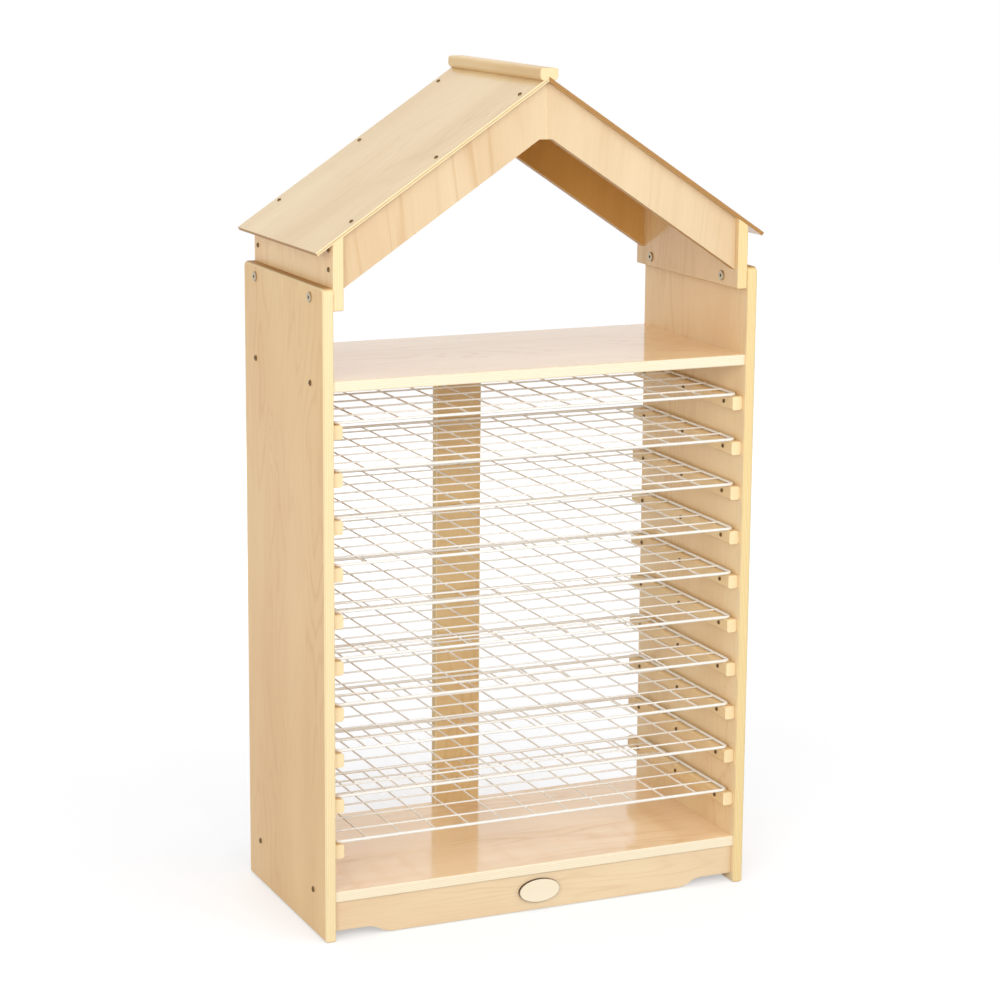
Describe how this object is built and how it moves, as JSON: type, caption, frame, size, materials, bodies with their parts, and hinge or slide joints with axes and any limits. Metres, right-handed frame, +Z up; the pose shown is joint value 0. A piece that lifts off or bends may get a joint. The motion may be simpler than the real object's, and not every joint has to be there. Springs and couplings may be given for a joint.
{
  "type": "art drying rack",
  "caption": "Free-standing plywood art drying rack shaped like a house: wire racks slide out on wooden runners below an open display shelf under a pitched roof.",
  "frame": {"origin": "on the floor, under the middle of the carcase", "axes": "+Z up, +Y towards the back, -Y the open front that the racks slide out of, +X to the right seen from the front"},
  "size_m": [0.781, 0.375, 1.389],
  "materials": {
    "birch_plywood": "clear satin lacquer over birch face veneer, layered edges",
    "thin_birch_plywood": "clear satin lacquer over birch face veneer",
    "solid_birch": "clear satin lacquer, sanded round",
    "plaque_plywood": "bare pale plywood with a scorched edge",
    "white_coated_wire": "smooth white powder coat on round steel wire",
    "bronzed_steel_screw": "dark bronzed steel",
    "zinc_steel_connector": "bronzed zinc plate",
    "beech_dowel": "bare beech"
  },
  "bodies": {
    "carcase": {"side_panel_left": "birch_plywood", "side_panel_right": "birch_plywood", "top_shelf": "birch_plywood", "bottom_shelf": "birch_plywood", "toe_board": "birch_plywood", "back_post": "birch_plywood", "end_board_left": "birch_plywood", "end_board_right": "birch_plywood", "gable_front_left": "birch_plywood", "gable_front_right": "birch_plywood", "gable_back_left": "birch_plywood", "gable_back_right": "birch_plywood", "roof_panel_left": "thin_birch_plywood", "roof_panel_right": "thin_birch_plywood", "ridge_cap": "solid_birch", "front_plaque": "plaque_plywood", "runner_left_01": "solid_birch", "runner_left_02": "solid_birch", "runner_left_03": "solid_birch", "runner_left_04": "solid_birch", "runner_left_05": "solid_birch", "runner_left_06": "solid_birch", "runner_left_07": "solid_birch", "runner_left_08": "solid_birch", "runner_left_09": "solid_birch", "runner_left_10": "solid_birch", "runner_right_01": "solid_birch", "runner_right_02": "solid_birch", "runner_right_03": "solid_birch", "runner_right_04": "solid_birch", "runner_right_05": "solid_birch", "runner_right_06": "solid_birch", "runner_right_07": "solid_birch", "runner_right_08": "solid_birch", "runner_right_09": "solid_birch", "runner_right_10": "solid_birch", "runner_screws_left": "bronzed_steel_screw", "runner_screws_right": "bronzed_steel_screw", "shelf_screws": "bronzed_steel_screw", "roof_screws": "bronzed_steel_screw", "gable_screws": "bronzed_steel_screw", "roof_bolts": "zinc_steel_connector", "roof_bolt_nuts": "zinc_steel_connector", "post_bolt": "zinc_steel_connector", "post_barrel_nut": "zinc_steel_connector", "post_dowels": "beech_dowel", "toe_board_dowels": "beech_dowel", "gable_dowels": "beech_dowel"},
    "rack_01": {"wire_rack_01": "white_coated_wire"},
    "rack_02": {"wire_rack_02": "white_coated_wire"},
    "rack_03": {"wire_rack_03": "white_coated_wire"},
    "rack_04": {"wire_rack_04": "white_coated_wire"},
    "rack_05": {"wire_rack_05": "white_coated_wire"},
    "rack_06": {"wire_rack_06": "white_coated_wire"},
    "rack_07": {"wire_rack_07": "white_coated_wire"},
    "rack_08": {"wire_rack_08": "white_coated_wire"},
    "rack_09": {"wire_rack_09": "white_coated_wire"},
    "rack_10": {"wire_rack_10": "white_coated_wire"}
  },
  "joints": [
    {"name": "rack_01_slide", "type": "slide", "parent": "carcase", "child": "rack_01", "axis": [0, -1, 0], "range_m": [0, 0.17]},
    {"name": "rack_02_slide", "type": "slide", "parent": "carcase", "child": "rack_02", "axis": [0, -1, 0], "range_m": [0, 0.17]},
    {"name": "rack_03_slide", "type": "slide", "parent": "carcase", "child": "rack_03", "axis": [0, -1, 0], "range_m": [0, 0.17]},
    {"name": "rack_04_slide", "type": "slide", "parent": "carcase", "child": "rack_04", "axis": [0, -1, 0], "range_m": [0, 0.17]},
    {"name": "rack_05_slide", "type": "slide", "parent": "carcase", "child": "rack_05", "axis": [0, -1, 0], "range_m": [0, 0.17]},
    {"name": "rack_06_slide", "type": "slide", "parent": "carcase", "child": "rack_06", "axis": [0, -1, 0], "range_m": [0, 0.17]},
    {"name": "rack_07_slide", "type": "slide", "parent": "carcase", "child": "rack_07", "axis": [0, -1, 0], "range_m": [0, 0.17]},
    {"name": "rack_08_slide", "type": "slide", "parent": "carcase", "child": "rack_08", "axis": [0, -1, 0], "range_m": [0, 0.17]},
    {"name": "rack_09_slide", "type": "slide", "parent": "carcase", "child": "rack_09", "axis": [0, -1, 0], "range_m": [0, 0.17]},
    {"name": "rack_10_slide", "type": "slide", "parent": "carcase", "child": "rack_10", "axis": [0, -1, 0], "range_m": [0, 0.17]}
  ]
}
